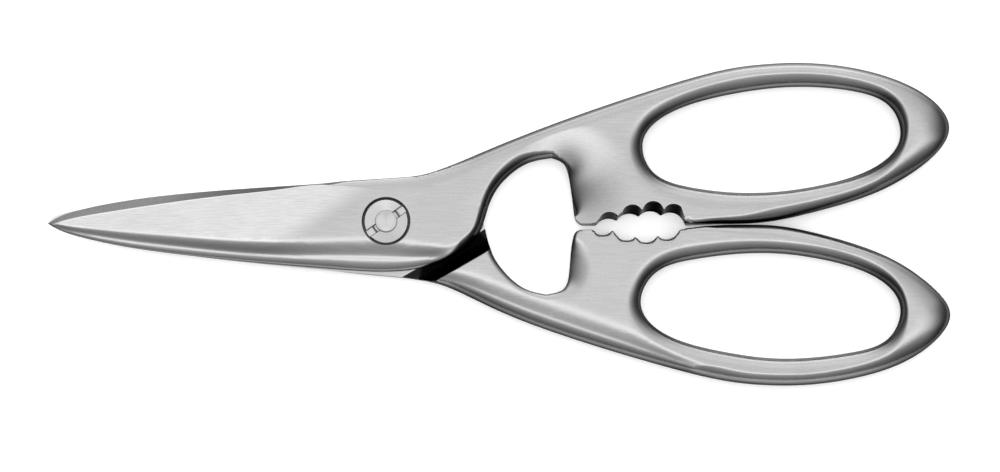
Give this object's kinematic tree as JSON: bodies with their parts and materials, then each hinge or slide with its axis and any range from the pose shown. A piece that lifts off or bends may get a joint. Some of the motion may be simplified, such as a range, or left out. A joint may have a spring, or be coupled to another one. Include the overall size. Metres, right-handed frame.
{
  "type": "poultry shears",
  "caption": "Forged steel kitchen shears for poultry: long pointed blades, finger rings, D-shaped opener and nutcracker jaws on an adjustable pivot nut.",
  "frame": {"origin": "on the pivot axis, in the back face of the shears, which is the outer face of the bolt head", "axes": "+X from the pivot towards the finger rings, +Z along the pivot axis out of the face with the slotted nut, +Y across the shears towards the ring of the front half"},
  "size_m": [0.2001, 0.0717, 0.007],
  "materials": {
    "forged_steel": "satin ground blade faces, softly blasted handles, fine serrated bevel",
    "pivot_steel": "turned and lightly polished",
    "spring_steel": "dull",
    "bronze": "plain bearing bronze"
  },
  "bodies": {
    "back": {"back_half": "forged_steel", "pivot_bolt": "pivot_steel", "bearing_washer": "bronze"},
    "front": {"front_half": "forged_steel"},
    "nut": {"pivot_nut": "pivot_steel", "disc_spring": "spring_steel"}
  },
  "joints": [
    {"name": "blade_pivot", "type": "hinge", "parent": "back", "child": "front", "pos_m": [0, 0, 0], "axis": [0, 0, 1], "range_deg": [0, 74]},
    {"name": "nut_adjust", "type": "hinge", "parent": "back", "child": "nut", "pos_m": [0, 0, 0], "axis": [0, 0, 1], "range_deg": [-30, 30]}
  ]
}
